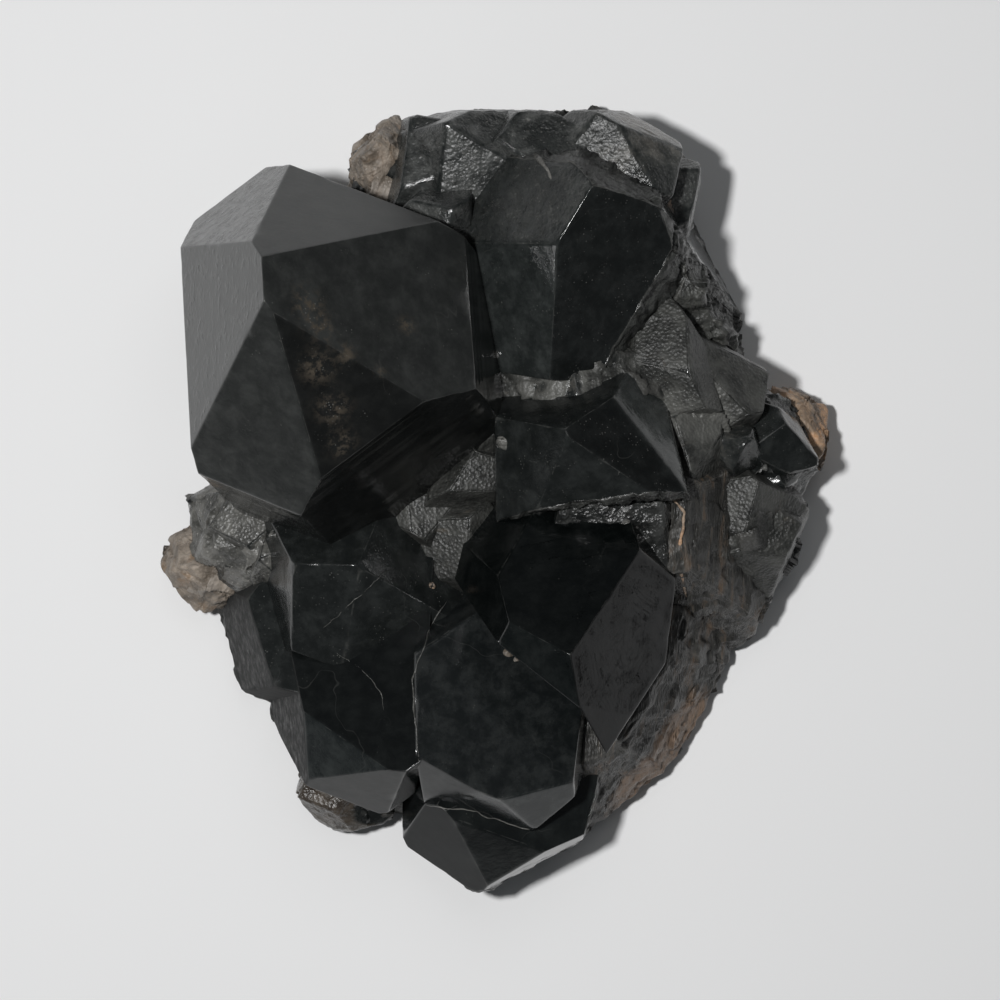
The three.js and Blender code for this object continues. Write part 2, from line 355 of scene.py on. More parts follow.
# facets spread evenly over an ellipsoid, each turned and sunk a little
def planesFromLump(lump):
    count, seed = np.arange(lump["facets"]), lump["seed"]
    height = 1 - 2 * (count + 0.5) / lump["facets"] + 0.16 * (scatter(count, seed) - 0.5)
    turn = count * goldenTurn + seed + 0.7 * scatter(count + 50, seed)
    level = np.sqrt(np.maximum(0, 1 - height ** 2))
    ways = np.stack([level * np.cos(turn), level * np.sin(turn), height], axis=-1)
    sunk = 0.84 + 0.16 * scatter(count + 100, seed)
    points = ways * lump["size"] * sunk[:, None] + lump["at"]
    normals = ways / lump["size"]
    normals /= np.linalg.norm(normals, axis=1)[:, None]
    return normals, (normals * points).sum(axis=1)


# a solid's planes together with its trims' and the outline's
def withOutline(planes, trims=()):
    sets = [planes, outlinePlanes()]
    if len(trims):
        sets.insert(1, planesFromFaces(trims))
    return np.concatenate([s[0] for s in sets]), np.concatenate([s[1] for s in sets])


# a shader node with its settings, each input set to a value or linked to a socket
def addNode(tree, kind, values=None, **settings):
    node = tree.nodes.new(kind)
    for key, value in settings.items():
        setattr(node, key, value)
    for key, value in (values or {}).items():
        if hasattr(value, "node"):
            tree.links.new(value, node.inputs[key])
        else:
            node.inputs[key].default_value = value
    return node


# a soft step of a number from low to high
def ramp(tree, value, low, high):
    node = addNode(tree, "ShaderNodeMapRange", {0: value, 1: low, 2: high, 3: 0.0, 4: 1.0})
    node.interpolation_type = "SMOOTHSTEP"
    return node.outputs[0]


# one number worked out from two
def math(tree, operation, a, b):
    return addNode(tree, "ShaderNodeMath", {0: a, 1: b}, operation=operation).outputs[0]


def plus(tree, a, b):
    return math(tree, "ADD", a, b)


def minus(tree, a, b):
    return math(tree, "SUBTRACT", a, b)


def times(tree, a, b):
    return math(tree, "MULTIPLY", a, b)


# colour = a + share * (b - a)
def blend(tree, share, a, b):
    return addNode(tree, "ShaderNodeMix", {0: share, 6: a, 7: b}, data_type="RGBA").outputs[2]


# a colour made darker or lighter
def toned(tree, colour, amount):
    values = {0: colour, "Scale": amount}
    return addNode(tree, "ShaderNodeVectorMath", values, operation="SCALE").outputs[0]


# fractal noise from 0 to 1
def noise(tree, where, scale, detail=6.0, rough=0.55, twist=0.0):
    values = {"Vector": where, "Scale": scale, "Detail": detail, "Roughness": rough}
    values["Distortion"] = twist
    return addNode(tree, "ShaderNodeTexNoise", values).outputs["Fac"]


# how far each place is from the middle of its cell, in a scatter of cells
def cells(tree, where, scale):
    values = {"Vector": where, "Scale": scale}
    return addNode(tree, "ShaderNodeTexVoronoi", values).outputs["Distance"]


# a value that makePiece stored at the points
def stored(tree, name):
    return addNode(tree, "ShaderNodeAttribute", attribute_name=name).outputs["Fac"]


# what all finishes share: scales per millimetre, and the ranges over which each effect sets in
surface = {
    "frayScale": 0.9, "frayShare": 0.5, "brokenRange": (0.55, 0.85),
    "veiledCloud": 0.16, "milkScale": 1.0, "milkRange": (0.45, 0.60),
    "moodScale": 0.09, "moodRange": (0.52, 0.64), "threadWidth": 0.004,
    "speckRange": (0.08, 0.22), "sparkleScale": 0.45, "veiledSparkle": 0.2,
    "edgeRange": (0.45, 1.0), "edgeFray": (0.42, 0.66),
    "lumpScale": 0.35, "lumpRange": (0.36, 0.68), "glintScale": 3.5, "glintRange": (0.62, 0.72),
    "proudRange": (0.55, 1.0), "proudShare": 0.3, "markRange": (0.3, 0.8), "markShare": 0.8,
    "polishScale": 0.8, "speckRoughness": 0.3, "lumpRoughness": 0.35,
    "fineScale": 1.6, "gritScale": 2.8, "gritBump": 0.28, "brokenBump": 0.22,
    "bumpDepth": 0.0003,    # metres
    "refraction": 1.54, "specular": 0.42,
}


# the mineral's finish. Grown faces are a dark glassy body clouded by veils, crossed by fine
# threads, with painted sparkles as pale specks and a pale edge line that is partly chip wear,
# partly a painted highlight; broken ones are paler, rough and stained, with painted glints, and
# "broken" says how far a point is one or the other. Colours are linear
def makeMineral(name, look):
    material = bpy.data.materials.new(name)
    material.use_nodes = True
    tree = material.node_tree
    shader = tree.nodes["Principled BSDF"]
    place = addNode(tree, "ShaderNodeTexCoord").outputs["Object"]
    perMillimetre = (1 / millimetre,) * 3
    spot = addNode(tree, "ShaderNodeMapping", {"Vector": place, "Scale": perMillimetre}).outputs[0]
    grain = addNode(tree, "ShaderNodeMapping", {
        "Vector": spot, "Rotation": look["turn"], "Scale": look["stretch"],
    }).outputs[0]
    worn, veiled, tone, matt = (stored(tree, key) for key in ("worn", "veiled", "tone", "matt"))
    frayed = noise(tree, spot, surface["frayScale"], 5.0, 0.65)
    broken = plus(tree, stored(tree, "broken"), times(tree, frayed, surface["frayShare"]))
    broken = ramp(tree, broken, *surface["brokenRange"])

    # grown faces
    cloud = noise(tree, spot, look["veilScale"], 10.0, 0.70, 0.15)
    cloud = plus(tree, cloud, times(tree, veiled, surface["veiledCloud"]))
    glass = blend(tree, ramp(tree, cloud, *look["veilRange"]), look["dark"], look["veil"])
    # painted light and shade: the glass colour scaled per face
    glass = toned(tree, glass, tone)
    milk = ramp(tree, noise(tree, spot, surface["milkScale"], 9.0, 0.75), *surface["milkRange"])
    glass = blend(tree, times(tree, veiled, milk), glass, look["milk"])
    wander = minus(tree, noise(tree, spot, look["threadScale"], 3.0, 0.45, 0.3), 0.5)
    nearThread = math(tree, "ABSOLUTE", wander, 0.0)
    thread = minus(tree, 1.0, ramp(tree, nearThread, 0.0, surface["threadWidth"]))
    mood = noise(tree, spot, surface["moodScale"], 3.0)
    thread = times(tree, thread, ramp(tree, mood, *surface["moodRange"]))
    glass = blend(tree, times(tree, thread, look["threads"]), glass, look["bright"])
    # painted sparkles: small pale cells set where the spread noise is high; they also raise the
    # roughness
    speck = ramp(tree, cells(tree, spot, look["speckScale"]), *surface["speckRange"])
    sparkleSpread = noise(tree, spot, surface["sparkleScale"], 4.0, 0.6)
    sparkleSpread = plus(tree, sparkleSpread, times(tree, veiled, surface["veiledSparkle"]))
    speck = times(tree, minus(tree, 1.0, speck), ramp(tree, sparkleSpread, *look["sparkleRange"]))
    speck = times(tree, speck, look["specks"])
    glass = blend(tree, speck, glass, look["bright"])
    # pale edge line along worn edges: partly chip wear, partly a painted edge highlight
    edge = ramp(tree, worn, *surface["edgeRange"])
    edge = times(tree, edge, ramp(tree, frayed, *surface["edgeFray"]))
    glass = blend(tree, times(tree, edge, look["edges"]), glass, look["bright"])

    # broken faces
    lump = noise(tree, grain, surface["lumpScale"], 9.0, 0.68, 0.4)
    pale = ramp(tree, lump, *surface["lumpRange"])
    stone = blend(tree, pale, look["rootDark"], look["rootPale"])
    patch = noise(tree, grain, look["stainScale"], 8.0, 0.62, 0.5)
    stone = blend(tree, ramp(tree, patch, *look["stainRange"]), stone, look["stain"])
    # painted glints: pale sparkle spots in the broken stone
    glint = noise(tree, spot, surface["glintScale"], 3.0, 0.5)
    glint = times(tree, ramp(tree, glint, *surface["glintRange"]), look["glints"])
    stone = blend(tree, glint, stone, look["rootGlint"])
    # painted highlight: raised points and worn edges also take the glint colour
    proud = times(tree, ramp(tree, worn, *surface["proudRange"]), surface["proudShare"])
    stone = blend(tree, proud, stone, look["rootGlint"])
    marked = ramp(tree, plus(tree, veiled, minus(tree, lump, 0.5)), *surface["markRange"])
    stone = blend(tree, times(tree, marked, surface["markShare"]), stone, look["spot"])
    # painted light and shade also scale the broken stone's colour
    colour = blend(tree, broken, glass, toned(tree, stone, tone))
    tree.links.new(colour, shader.inputs["Base Color"])

    # roughness
    polish = noise(tree, grain, surface["polishScale"], 6.0, 0.6)
    polish = plus(tree, times(tree, polish, look["roughSpread"]), look["roughness"])
    polish = plus(tree, polish, times(tree, speck, surface["speckRoughness"]))
    polish = plus(tree, polish, matt)
    dull = plus(tree, times(tree, lump, surface["lumpRoughness"]), look["rootRoughness"])
    rough = plus(tree, polish, times(tree, minus(tree, dull, polish), broken))
    tree.links.new(rough, shader.inputs["Roughness"])

    # fine relief
    grit = times(tree, cells(tree, grain, surface["gritScale"]), broken)
    strength = plus(tree, times(tree, broken, surface["brokenBump"]), look["bump"])
    fine = times(tree, noise(tree, grain, surface["fineScale"], 9.0, 0.62), strength)
    height = plus(tree, times(tree, grit, surface["gritBump"]), fine)
    values = {"Height": height, "Strength": 1.0, "Distance": surface["bumpDepth"]}
    bump = addNode(tree, "ShaderNodeBump", values)
    tree.links.new(bump.outputs[0], shader.inputs["Normal"])
    shader.inputs["IOR"].default_value = surface["refraction"]
    shader.inputs["Specular IOR Level"].default_value = surface["specular"]
    return material


# the looks; each names only what differs from the look it is based on
glassLook = {
    "dark": (0.0052, 0.0063, 0.0064, 1), "veil": (0.0150, 0.0172, 0.0168, 1),
    "veilScale": 0.40, "veilRange": (0.36, 0.80), "milk": (0.060, 0.058, 0.052, 1),
    "bright": (0.12, 0.12, 0.112, 1), "threadScale": 0.10, "threads": 0.14,
    "speckScale": 2.6, "sparkleRange": (0.54, 0.76), "specks": 0.35, "edges": 0.30,
    "roughness": 0.07, "roughSpread": 0.16, "bump": 0.05,
    "rootDark": (0.015, 0.0158, 0.0150, 1), "rootPale": (0.058, 0.060, 0.056, 1),
    "stain": (0.075, 0.058, 0.042, 1), "stainScale": 0.30, "stainRange": (0.60, 0.76),
    "rootGlint": (0.16, 0.155, 0.145, 1), "glints": 0.5, "rootRoughness": 0.18,
    "spot": (0.13, 0.13, 0.12, 1), "turn": (0, 0, 0), "stretch": (1, 1, 1),
}
tallLook = {
    **glassLook, "dark": (0.0135, 0.0145, 0.0140, 1), "veil": (0.031, 0.0325, 0.0312, 1),
    "milk": (0.062, 0.052, 0.040, 1), "specks": 0.9,
}
deepLook = {
    **glassLook, "dark": (0.0018, 0.0026, 0.0026, 1), "veil": (0.0085, 0.0098, 0.0095, 1),
    "threads": 0.05,
}
cloudyLook = {
    **glassLook, "dark": (0.0062, 0.0075, 0.0078, 1), "veil": (0.021, 0.0232, 0.0230, 1),
    "veilScale": 0.45, "veilRange": (0.38, 0.72), "specks": 0.5,
}
dustyLook = {
    **glassLook, "dark": (0.0085, 0.0098, 0.0096, 1), "veil": (0.026, 0.0285, 0.0278, 1),
    "veilScale": 0.5, "specks": 0.7, "sparkleRange": (0.46, 0.68), "bump": 0.12,
    "stainRange": (0.68, 0.86),
}
greyLook = {
    **dustyLook, "rootDark": (0.021, 0.0218, 0.0202, 1), "rootPale": (0.072, 0.073, 0.067, 1),
    "stain": (0.095, 0.080, 0.060, 1), "stainRange": (0.62, 0.80), "rootRoughness": 0.25,
}
paleLook = {
    **greyLook, "rootDark": (0.040, 0.040, 0.037, 1), "rootPale": (0.135, 0.133, 0.122, 1),
    "glints": 0.8, "rootGlint": (0.30, 0.29, 0.27, 1), "rootRoughness": 0.15,
}
blackLook = {
    **dustyLook, "rootDark": (0.012, 0.0130, 0.0126, 1), "rootPale": (0.066, 0.068, 0.065, 1),
    "rootRoughness": 0.10, "spot": (0.15, 0.135, 0.115, 1),
}
tanLook = {
    **greyLook, "rootDark": (0.10, 0.082, 0.064, 1), "rootPale": (0.31, 0.262, 0.215, 1),
    "stain": (0.22, 0.15, 0.095, 1), "stainRange": (0.52, 0.72),
    "rootGlint": (0.45, 0.41, 0.37, 1), "rootRoughness": 0.4,
}
rindLook = {
    **greyLook, "rootDark": (0.018, 0.0178, 0.0165, 1), "rootPale": (0.062, 0.060, 0.054, 1),
    "stain": (0.105, 0.072, 0.048, 1), "stainScale": 0.35, "stainRange": (0.52, 0.70),
    "turn": (0.0, 0.0, 0.42), "stretch": (2.4, 0.4, 1.0), "spot": (0.24, 0.165, 0.115, 1),
}
orangeLook = {
    **greyLook, "rootDark": (0.13, 0.092, 0.064, 1), "rootPale": (0.36, 0.26, 0.18, 1),
    "stain": (0.46, 0.27, 0.15, 1), "stainRange": (0.46, 0.64), "rootRoughness": 0.35,
}
footLook = {
    **greyLook, "rootDark": (0.030, 0.024, 0.019, 1), "rootPale": (0.085, 0.070, 0.055, 1),
    "rootRoughness": 0.1,
}
finishes = {
    "morionTall": tallLook, "morionDeep": deepLook, "morionCloudy": cloudyLook,
    "morionGlass": glassLook, "morionDusty": dustyLook, "blackRubble": blackLook,
    "greyQuartz": greyLook, "paleQuartz": paleLook, "tanQuartz": tanLook, "stainedRind": rindLook,
    "orangeQuartz": orangeLook, "smokyFoot": footLook,
}
finish = {name: makeMineral(name, look) for name, look in finishes.items()}
print("materials made")

# whole crystals, shaped by quartz's own angles; trims cut a solid where a neighbour bounds it.
# Faces are counted as the planes are: prism 0 to 5, tip 6 to 11, foot 12, trims from 13, then
# the outline's. Those in "broken" and from "whole" on are broken; dull and matt give single
# faces a share of brokenness and roughness, and the per-face tone a lighter or darker colour:
# painted light and shade, for how brightly each face catches the light
crystalLook = {
    "grain": 0.55, "wear": 0.045, "chipping": 3.0, "wave": 0.05, "waveSize": 7.0,
    "chip": 0.0, "chipSize": 2.0, "stripe": 0.02, "rubble": 0.35, "whole": 13, "broken": [],
    "rootLine": 3.0,
}
crystals = {
    "tallCrystal": {
        "tip": (-22.5, 23, 44), "lean": 22, "toward": 319.5, "spin": -4.2, "length": 60,
        "prism": (15.7, 15.3, 13.4, 18.7, 13.1, 18.6), "cap": (-5.6, 0, 0, -1.8, 0, -4.9),
        "trims": [[]], "material": "morionTall",
        "look": {
            **crystalLook, "seed": 1.0, "stripe": 0.05, "dull": {9: 0.36, 10: 0.32},
            "tone": {6: 0.42, 7: 1.15, 11: 1.3, 0: 0.65}, "matt": {8: 0.3, 9: 0.1},
        },
        "marks": [
            (-18.2, 18.4, 1.5), (-16.9, 16.2, 1.1), (-17.3, 12.6, 1.3), (-16.0, 8.8, 1.3),
            (-15.2, 5.4, 1.1), (-14.6, 13.9, 0.8), (-11.4, 12.2, 0.5), (-9.0, 16.8, 0.7),
        ],
    },
    "middleCrystal": {
        "tip": (9.8, -29.2, 33.7), "lean": 53.1, "toward": 164, "spin": -6.5, "length": 46,
        "prism": (9, 9.5, 11, 11, 10, 12.8), "cap": (-2, 5.7, 3, 3, 3, 5.7),
        "trims": [
            [(0, -8.3, 28.5, 65, 276), (2.4, -3.6, 25.5, 60, 321), (2.9, -16.1, 29, 104, 214)],
            [(0, -8.3, 28.5, 65, 276), (2.4, -3.6, 25.5, 60, 321), (7.6, -19.4, 30, 96, 245)],
        ],
        "material": "morionDeep",
        "look": {
            **crystalLook, "seed": 2.0, "whole": 16, "tone": {0: 0.8, 7: 1.6, 11: 0.27},
            "matt": {11: 0.3},
        },
    },
    "leftCrystal": {
        "tip": (-8.7, -20.9, 26.9), "lean": 25, "toward": 144, "spin": -1, "length": 40,
        "prism": (14, 9.3, 13.9, 12, 12, 14), "cap": (4.2, -3.8, -8.3, -6.8, -8, -8),
        "trims": [[(-7.4, -22, 24, 94, 94)]],
        "material": "morionGlass",
        "look": {
            **crystalLook, "seed": 3.0, "whole": 14, "dull": {1: 0.42},
            "tone": {6: 0.6, 7: 2.2, 8: 0.7, 1: 0.35}, "matt": {1: 0.8, 8: 0.35},
        },
    },
    "frontCrystal": {
        "tip": (-5.1, -31.5, 18.8), "lean": 26, "toward": 270, "spin": 240, "length": 30,
        "prism": (8.4, 7.3, 13.1, 9, 9, 9.4), "cap": (-1.6, -3.3, -4, -4, -4, -4),
        "trims": [[(4.5, -36, 10.5, 135, 148), (9.2, -31.5, 14, 88, 104)]],
        "material": "morionGlass", "look": {**crystalLook, "seed": 4.0, "matt": {6: 0.6}},
    },
}
solids = []    # every faceted solid's planes, for what lies on them
for name, crystal in crystals.items():
    axis = facing(crystal["lean"], crystal["toward"])
    skins = []
    for trims in crystal["trims"]:
        planes = withOutline(planesFromCrystal(crystal), trims)
        solids.append(planes)
        look = {**crystal["look"], "spots": lieOn([planes], crystal.get("marks", []))}
        skins.append(facetedSkin(*planes, look, axis))
    makePiece(name, *joinSkins(skins), finish[crystal["material"]])
print("whole crystals grown")

# crowded and broken crystals, one row of x, y, z, tilt, bearing for each face
brokenShape = {
    "grain": 0.5, "wear": 0.08, "chipping": 3.0, "wave": 0.10, "waveSize": 5.0,
    "chip": 0.02, "chipSize": 2.2, "rubble": 0.5, "broken": [], "rootLine": 4.0,
}
shattered = {
    **brokenShape, "wear": 0.22, "chip": 0.3, "chipSize": 2.4, "wave": 0.4, "waveSize": 4.5,
}
brokenCrystals = {
    "backCrystal": {
        "faces": [
            (5.6, 25, 31, 48, 248), (5.6, 25, 31, 38, 130), (5.6, 25, 31, 47, 295),
            (6.4, 31.1, 33.6, 54, 40), (17.3, 25, 23.5, 72, 85), (14.4, 20, 23, 66, 124),
            (0, 34.6, 20, 74, 352), (13, 33, 20, 72, 30), (8, 12, 20, 95, 185),
            (-8, 25, 10, 95, 265), (18, 30, 10, 82, 62),
        ],
        "look": {
            **brokenShape, "seed": 6.0, "broken": [3, 4, 5, 6, 7], "dull": {2: 0.4},
            "tone": {0: 1.7, 1: 0.75, 2: 1.1},
        },
        "material": "morionDusty",
    },
    "shieldCrystal": {
        "faces": [
            (0.1, -29.6, 25, 20, 55), (0, -29.9, 25.2, 59, 205), (0.1, -29.6, 25, 52, 152),
            (0.1, -29.6, 25, 67, 194), (7.9, -26, 20, 80, 95), (-8.5, -20, 26, 94, 268),
            (-2, -9.5, 18, 70, 335), (5.8, -31, 19, 100, 136), (0, -32.5, 17.5, 125, 190),
        ],
        "look": {
            **brokenShape, "seed": 7.0, "chip": 0.0, "tone": {2: 2.0, 3: 1.6}, "matt": {1: 0.2},
        },
        "material": "morionCloudy",
    },
    "splinterCrystal": {
        "faces": [
            (6.6, 6.2, 31, 48, 252), (6.6, 6.2, 31, 36, 196), (6.6, 6.2, 31, 36, 52),
            (14.3, 5.4, 27.5, 60, 52), (3, 8.3, 26, 66, 345), (10, -0.6, 24, 78, 175),
            (-0.3, 2, 24, 86, 268), (19.5, 0, 16, 86, 75),
        ],
        "look": {
            **brokenShape, "seed": 8.0, "broken": [5], "tone": {2: 0.45, 3: 2.4, 4: 0.8},
        },
        "material": "morionDusty",
    },
    "flankCrystal": {
        "faces": [
            (-17.5, -6.5, 24.5, 28, 205), (-13.6, -10, 23.2, 34, 150),
            (-17.5, -6.3, 24.5, 48, 350), (-21, -8, 22, 70, 262), (-10.5, -7, 22, 50, 60),
            (-12, -19, 14, 84, 200),
        ],
        "look": {**brokenShape, "seed": 9.0}, "material": "morionDusty",
    },
    "flankFoot": {
        "faces": [
            (-23.5, -13, 16.5, 22, 330), (-25, -17, 12, 74, 258), (-24.5, -19.6, 10, 82, 195),
            (-25.5, -9, 13, 74, 310), (-19, -14, 14, 88, 90),
        ],
        "look": {
            **brokenShape, "seed": 10.0, "dull": {1: 0.4}, "matt": {1: 0.7, 2: 0.7, 3: 0.5},
            "tone": {1: 0.4, 2: 0.35, 3: 0.7},
        },
        "material": "morionDusty",
    },
    "sideFin": {
        "faces": [
            (18.8, 22, 20, 46, 243), (19.2, 22, 20, 82, 64), (18.4, 23.4, 20, 60, 5),
            (21, 17.5, 15.5, 40, 170), (21.5, 15.2, 10, 84, 175), (14, 17, 10, 88, 270),
        ],
        "look": {**shattered, "seed": 11.0, "broken": [0, 1, 2, 3]}, "material": "greyQuartz",
    },
    "brokenSeam": {
        "faces": [
            (12, -2, 24.5, 22, 178), (17, -3, 22, 78, 90), (4.6, -3, 22, 80, 285),
            (11, -6.4, 21, 80, 200), (12, 0, 20, 90, 0),
        ],
        "look": {
            **shattered, "seed": 12.0, "broken": [0, 3], "tone": {0: 0.6, 3: 0.6}, "chip": 0.15,
            "rubble": 0.2,
        },
        "material": "blackRubble",
    },
    "stainedRidge": {
        "faces": [
            (18, -1.5, 24, 52, 280), (18, -1.5, 24, 58, 95), (18, 1, 24, 70, 10),
            (17.6, -8, 20, 65, 175), (18, -1.5, 24, 20, 180),
        ],
        "look": {
            **shattered, "seed": 13.0, "broken": [0, 1, 2, 3, 4],
            "chip": 0.15, "rubble": 0.25,
        },
        "material": "stainedRind",
    },
    "lowRind": {
        "faces": [
            (18, -12, 15, 20, 95), (21.2, -12, 9, 64, 96), (20, -19.6, 7, 64, 118),
            (14.4, -29, 6, 66, 138), (17, -6, 15, 66, 10), (8, -20, 8, 90, 270),
            (13, -28, 12, 60, 158),
        ],
        "look": {
            **shattered, "seed": 14.0, "chip": 0.12, "rubble": 0.3, "broken": [0, 1, 2, 3, 4, 6],
            "spots": [(14, -27.5, 5, 5), (18, -22, 4, 4), (19.5, -9, 12, 2.5)],
        },
        "material": "stainedRind",
    },
}
for name, crystal in brokenCrystals.items():
    planes = withOutline(planesFromFaces(crystal["faces"]))
    solids.append(planes)
    look = {**crystal["look"], "whole": len(crystal["faces"])}
    makePiece(name, *facetedSkin(*planes, look), finish[crystal["material"]])
print("broken crystals grown")

# lumps of the root: an ellipsoid knapped into facets, then crumbled
lumpLook = {
    "rows": 84, "soft": 90.0, "wave": 0.5, "waveSize": 5.0, "chip": 0.75, "chipSize": 3.4,
    "glassy": 0.0,
}
lumps = {
    "backRim": {"at": (-3, 31, 8), "size": (12, 8.5, 13), "facets": 26, "seed": 3},
    "backChip": {"at": (-11.6, 33.4, 8), "size": (3.6, 4.4, 10), "facets": 14, "seed": 11},
    "backCorner": {"at": (12.5, 30, 8), "size": (7.7, 8.7, 12.5), "facets": 20, "seed": 5},
    "valley": {"at": (-5, -1, 8), "size": (12, 12, 10), "facets": 30, "seed": 17},
    "saddle": {"at": (7.5, 11, 15), "size": (11.5, 7, 9), "facets": 24, "seed": 23},
    "shoulder": {"at": (18.5, 9.5, 9), "size": (8.5, 8, 10), "facets": 26, "seed": 29},
    "darkKnob": {"at": (27, 4.5, 6), "size": (5.5, 6, 8.5), "facets": 20, "seed": 31},
    "orangeKnob": {"at": (30.5, 6.5, 3.5), "size": (4.2, 4.5, 6.5), "facets": 16, "seed": 37},
    "paleKnob": {"at": (24.5, -3, 5), "size": (7, 7.5, 10.5), "facets": 24, "seed": 41},
    "tanChip": {"at": (-28.8, -6.6, 4), "size": (5.8, 4.2, 6.5), "facets": 14, "seed": 43},
    "sparklyStep": {"at": (-24, -4, 6), "size": (8, 7, 10), "facets": 22, "seed": 47},
    "frontFoot": {"at": (-15.8, -29.3, 2), "size": (5, 4.8, 7.5), "facets": 14, "seed": 53},
    "frontRoot": {"at": (1, -29, 3), "size": (8, 4.5, 8.5), "facets": 18, "seed": 59},
}
# shade scales a lump's whole colour: painted shade and light
lumpFinishes = {
    "backRim": {"material": "blackRubble", "glassy": 0.6},
    "backChip": {"material": "tanQuartz"},
    "backCorner": {
        "material": "stainedRind", "glassy": 0.2,
        "spots": [(16.3, 31, 17, 2.0), (18.5, 27, 13, 3.4), (18.8, 22, 14, 3), (11, 36, 17, 2)],
    },
    "valley": {"material": "greyQuartz", "shade": 0.8},
    "saddle": {"material": "greyQuartz", "glassy": 0.1, "shade": 0.9},
    "shoulder": {"material": "paleQuartz", "shade": 0.8},
    "darkKnob": {"material": "blackRubble", "glassy": 0.5},
    "orangeKnob": {"material": "orangeQuartz"},
    "paleKnob": {"material": "greyQuartz", "glassy": 0.3, "shade": 0.7},
    "tanChip": {"material": "tanQuartz", "shade": 1.15},
    "sparklyStep": {"material": "paleQuartz", "glassy": 0.2},
    "frontFoot": {"material": "smokyFoot", "glassy": 0.3, "chip": 0.3, "wave": 0.25},
    "frontRoot": {"material": "blackRubble", "glassy": 0.3},
}
paleSpots = [(16.5, 8.5, 17, 4.5), (20.5, 7, 15, 3.5), (6, 11.5, 23, 3), (12.5, 35, 17, 5)]
for name, lump in lumps.items():
    normals, reach = withOutline(planesFromLump(lump))
    centre = np.array(lump["at"], dtype=float)
    look = {**lumpLook, "seed": float(lump["seed"]), "spots": paleSpots, **lumpFinishes[name]}
    makePiece(name, *roughSkin(normals, reach, centre, look), finish[look["material"]])

# the mass the crystals root in
rootMass = {
    "faces": [
        (0, 0, 15, 4, 200), (-21, -18, 8, 62, 255), (-26.5, 0, 6, 62, 275), (-14, 28, 8, 60, 320),
        (0, 35.5, 8, 62, 0), (14, 31, 8, 62, 45), (18.5, 22, 8, 62, 72), (23.5, 4, 8, 62, 88),
        (20.5, -12, 6, 62, 108), (15, -23, 5, 62, 130), (0, -30, 6, 62, 180),
        (-15, -26, 6, 62, 222),
    ],
    "centre": (-1.0, 2.0, 5.0),
    "look": {**lumpLook, "rows": 190, "wave": 0.8, "waveSize": 6.0, "chip": 0.8, "seed": 61.0},
}
normals, reach = withOutline(planesFromFaces(rootMass["faces"]))
centre = np.array(rootMass["centre"])
makePiece("rootMass", *roughSkin(normals, reach, centre, rootMass["look"]), finish["greyQuartz"])
print("root built")

# angular shards of broken quartz, as x, y, z and half width of each
shardLook = {
    **brokenShape, "grain": 0.6, "wear": 0.10, "wave": 0.28, "waveSize": 3.0, "chip": 0.06,
    "chipSize": 1.8, "rubble": 0.06, "facets": 11, "rootLine": 3.0,
}
shardGroups = {
    "rimShards": {
        "spots": [
            (-6.2, 33, 14.5, 5.2), (-2.5, 33.5, 15.5, 6.2), (4, 34.5, 17, 6.0),
            (11, 33.5, 17.5, 6.0), (15.3, 30.3, 14, 4.8), (-6, 28, 19, 4.2),
        ],
        "material": "blackRubble", "seed": 71, "dull": 0.5, "shade": 1.25,
    },
    "sideShards": {
        "spots": [
            (16.5, 13.5, 16.5, 5.2), (21.5, 10.5, 13.5, 5.0), (18.5, 5.5, 15.5, 4.6),
            (23.5, -0.5, 11, 5.6), (27, -4, 8.5, 4.6),
        ],
        "material": "greyQuartz", "seed": 83, "dull": 0.8, "shade": 0.8,
    },
    "darkShards": {
        "spots": [(23.6, 5.2, 14.2, 3.2), (27, 5.6, 11.5, 3.6), (26.8, 2.2, 11.0, 3.2)],
        "material": "blackRubble", "seed": 97, "dull": 0.3,
    },
    "valleyShards": {
        "spots": [
            (-8, 0.5, 14.8, 5.0), (-4, -4.5, 15, 5.0), (-2, 2.5, 16, 4.6), (-0.5, 7.5, 18, 3.4),
        ],
        "material": "greyQuartz", "seed": 101, "dull": 0.8, "shade": 0.75,
    },
    "stepShards": {
        "spots": [
            (-27.5, -2, 9.5, 3.4), (-24, -2.5, 11.5, 4.4), (-21.5, -5.5, 13.2, 4.2),
            (-26, -7, 9.5, 3.4),
        ],
        "material": "paleQuartz", "seed": 113, "dull": 0.7,
    },
}
for name, group in shardGroups.items():
    skins = []
    for count, (x, y, z, size) in enumerate(group["spots"]):
        seed = group["seed"] + 2.7 * count
        squat = 0.75 + 0.5 * scatter(np.arange(3), seed)
        facets = shardLook["facets"]
        shard = {"at": (x, y, z), "size": size * squat, "facets": facets, "seed": seed}
        planes = withOutline(planesFromLump(shard))
        dull = {face: group["dull"] for face in range(facets)}
        # painted shade: one lighter or darker factor over all of a shard's faces
        tone = {face: group.get("shade", 1.0) for face in range(facets)}
        skins.append(facetedSkin(*planes, {
            **shardLook, "seed": seed, "whole": facets, "dull": dull, "tone": tone,
            "spots": paleSpots,
        }))
    makePiece(name, *joinSkins(skins), finish[group["material"]])
print("shards scattered")

